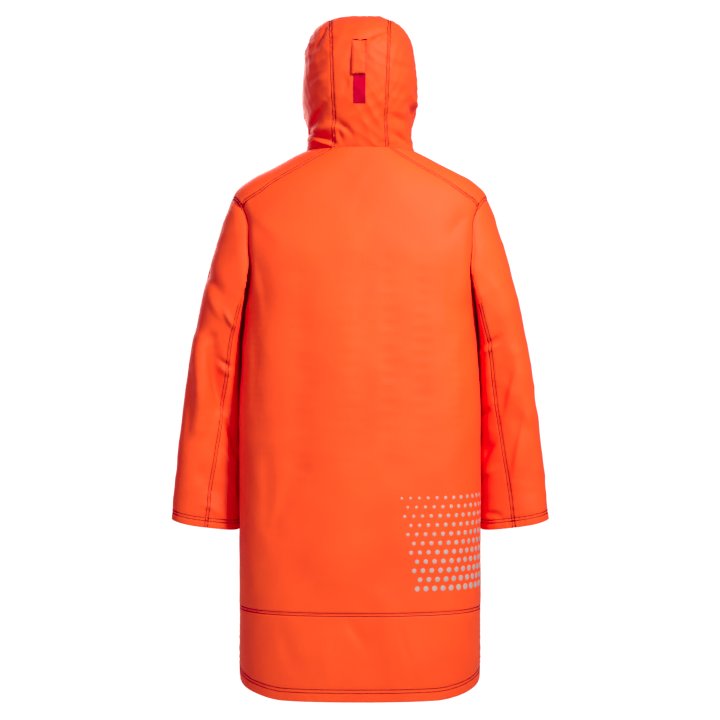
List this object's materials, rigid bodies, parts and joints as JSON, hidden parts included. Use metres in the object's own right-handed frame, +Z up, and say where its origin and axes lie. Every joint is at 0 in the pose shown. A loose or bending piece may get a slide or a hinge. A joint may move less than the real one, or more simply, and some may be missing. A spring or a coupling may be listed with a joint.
{
  "type": "warm-up coat",
  "caption": "Knee-length hooded padded warm-up coat, filled out as if worn, with a centre-front zip, side vents and a hinged zip pull.",
  "frame": {"origin": "between the shoulders at the height of the neck seam, on the line where the wearer's shoulders and neck carry the coat", "axes": "+Z up, the front faces -Y, the back faces +Y, the wearer's left is +X"},
  "size_m": [0.738, 0.3034, 1.3059],
  "materials": {
    "shell_cloth": "matt woven polyester shell with a slight satin sheen",
    "hook_and_loop": "napped loop tape",
    "zip_tape": "woven tape",
    "zip_metal": "painted die-cast zinc"
  },
  "bodies": {
    "coat": {"back_panel": "shell_cloth", "front_left": "shell_cloth", "front_right": "shell_cloth", "hem_band_back": "shell_cloth", "hem_band_front_left": "shell_cloth", "hem_band_front_right": "shell_cloth", "hood_center": "shell_cloth", "hood_side_left": "shell_cloth", "hood_side_right": "shell_cloth", "hood_tab": "shell_cloth", "hood_tab_strip": "hook_and_loop", "sleeve_left_outer": "shell_cloth", "sleeve_left_under": "shell_cloth", "sleeve_right_outer": "shell_cloth", "sleeve_right_under": "shell_cloth", "zip_slider": "zip_metal", "zip_tape_left": "zip_tape", "zip_tape_right": "zip_tape"},
    "zip_pull": {"zip_pull": "zip_metal"}
  },
  "joints": [
    {"name": "zip_pull_swing", "type": "hinge", "parent": "coat", "child": "zip_pull", "pos_m": [0, -0.115, -0.08738], "axis": [-1, 0, 0], "range_deg": [0, 150]}
  ]
}
